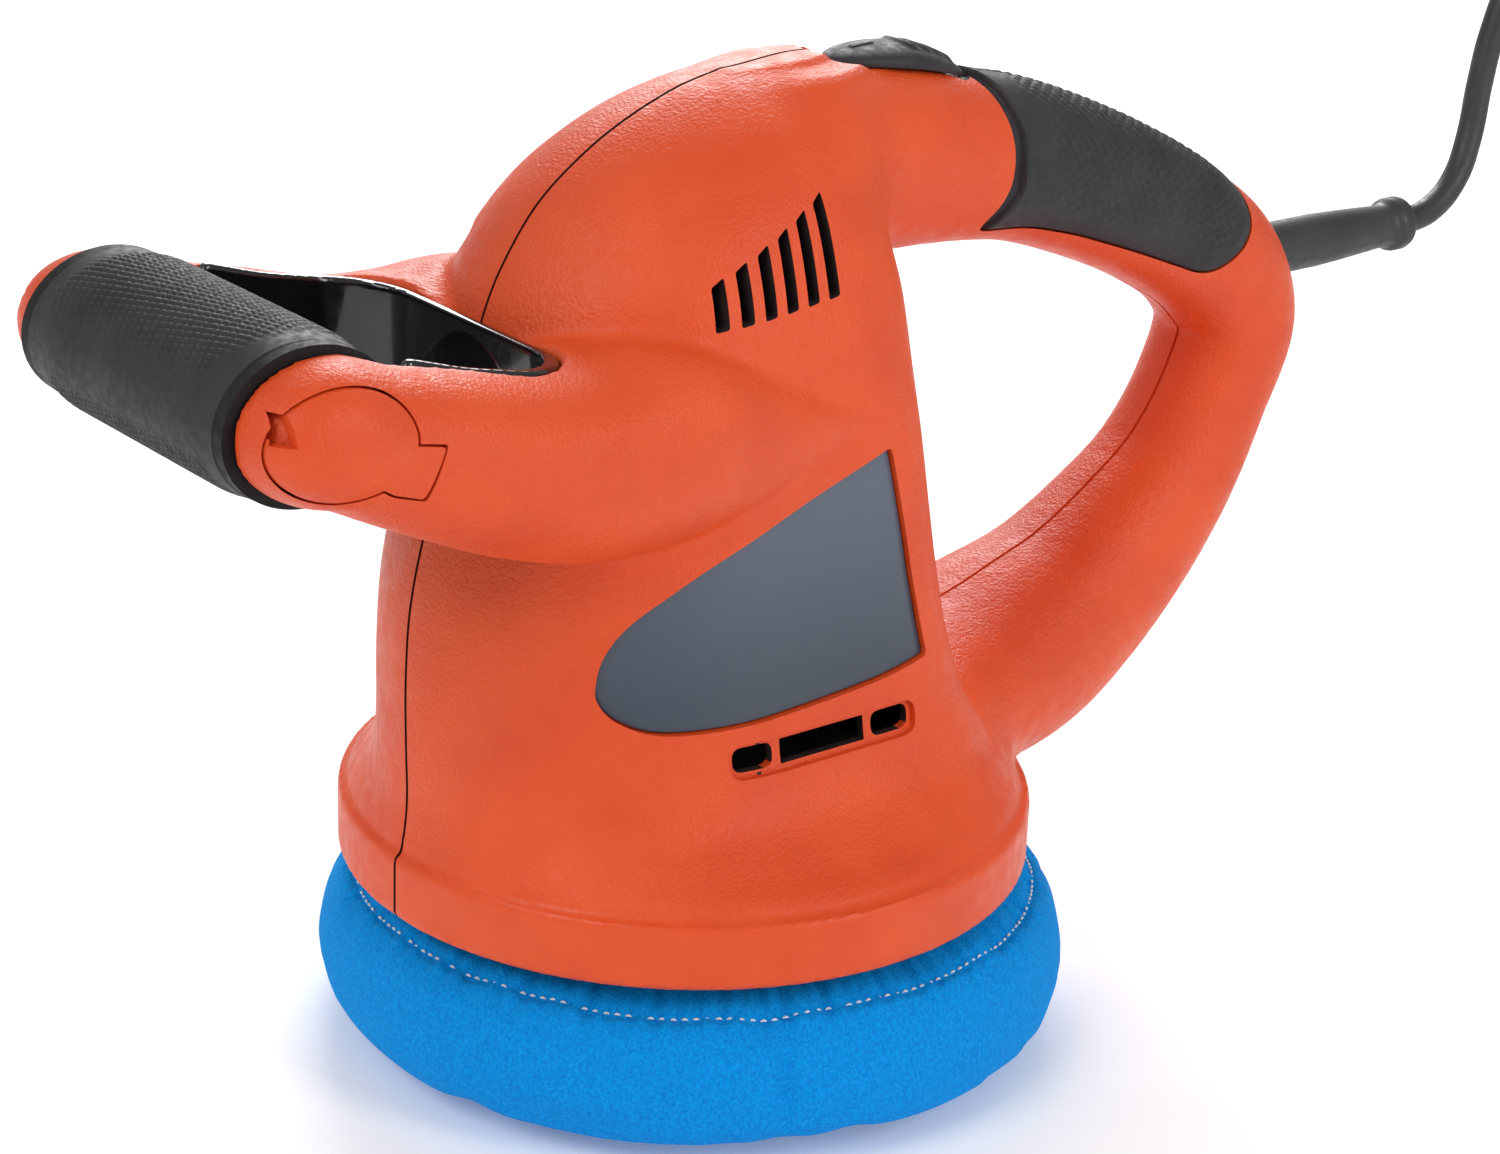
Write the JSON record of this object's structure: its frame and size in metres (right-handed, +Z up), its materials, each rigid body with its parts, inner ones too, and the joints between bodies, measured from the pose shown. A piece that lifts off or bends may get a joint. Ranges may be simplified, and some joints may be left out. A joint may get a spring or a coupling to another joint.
{
  "type": "rotary polisher",
  "caption": "Corded random-orbit polisher: orange clamshell body with front bar grip, rear D-handle, slide switch, inner motor and a blue cloth bonnet over a round foam pad.",
  "frame": {"origin": "on the floor, at the centre of the bonnet's flat working face, on the motor's axis", "axes": "+Z up along the motor's axis, -Y towards the front grip, +Y towards the rear handle and the cord, +X to the tool's right-hand flank"},
  "size_m": [0.26, 0.5277, 0.2169],
  "materials": {
    "housing": "fine leather-grain moulded orange plastic",
    "housing_liner": "polished black",
    "grip_rubber": "soft dark grey rubber with a raised pattern",
    "badge": "semi-gloss slate blue-grey",
    "black_plastic": "matte black",
    "cord_rubber": "matte dark grey",
    "steel": "bright steel",
    "iron": "laminated or cast iron",
    "copper": "enamelled copper windings",
    "brass": "plain brass",
    "carbon": "carbon block",
    "foam": "open foam",
    "bonnet_cloth": "bright blue brushed pile",
    "elastic": "white elastic cord"
  },
  "bodies": {
    "housing": {"housing_left": "housing", "housing_right": "housing", "arm_cap_left": "housing", "arm_cap_right": "housing", "opening_liner": "housing_liner", "front_grip": "grip_rubber", "rear_grip_left": "grip_rubber", "rear_grip_right": "grip_rubber", "badge_panel_left": "badge", "badge_panel_right": "badge", "front_grip_core": "black_plastic", "switch_module": "black_plastic", "cord_clamp": "black_plastic", "bearing_plate": "black_plastic", "bearing_bracket": "black_plastic", "air_baffle": "black_plastic", "strain_relief": "cord_rubber", "cord_tube": "cord_rubber", "cord_coil": "cord_rubber", "cord_tail": "cord_rubber", "plug_body": "cord_rubber", "plug_blade_left": "brass", "plug_blade_right": "brass", "brush_holder_left": "brass", "brush_holder_right": "brass", "clamshell_screw_1": "steel", "clamshell_screw_2": "steel", "clamshell_screw_3": "steel", "clamshell_screw_4": "steel", "clamshell_screw_5": "steel", "clamshell_screw_6": "steel", "clamshell_screw_7": "steel", "arm_screw_left": "steel", "arm_screw_right": "steel", "lower_bearing": "steel", "upper_bearing": "steel", "field_core": "iron", "field_coil_front": "copper", "field_coil_back": "copper", "carbon_brush_left": "carbon", "carbon_brush_right": "carbon"},
    "switch": {"switch_cap": "grip_rubber"},
    "armature": {"motor_shaft": "steel", "armature_core": "iron", "armature_winding_lower": "copper", "armature_winding_upper": "copper", "commutator": "copper", "cooling_fan": "black_plastic", "eccentric_weight": "iron"},
    "pad": {"pad_bearing": "steel", "pad_spindle": "steel", "pad_bolt": "steel", "backing_plate": "black_plastic", "foam_pad": "foam", "bonnet": "bonnet_cloth", "bonnet_elastic": "elastic"}
  },
  "joints": [
    {"name": "switch_slide", "type": "hinge", "parent": "housing", "child": "switch", "pos_m": [0, 0.033, 0.1195], "axis": [1, 0, 0], "range_deg": [0, 3.2]},
    {"name": "armature_spin", "type": "hinge", "parent": "housing", "child": "armature", "pos_m": [0, 0, 0.1], "axis": [0, 0, 1], "continuous": true},
    {"name": "pad_spin", "type": "hinge", "parent": "armature", "child": "pad", "pos_m": [0, 0.0035, 0.04], "axis": [0, 0, 1], "continuous": true}
  ]
}
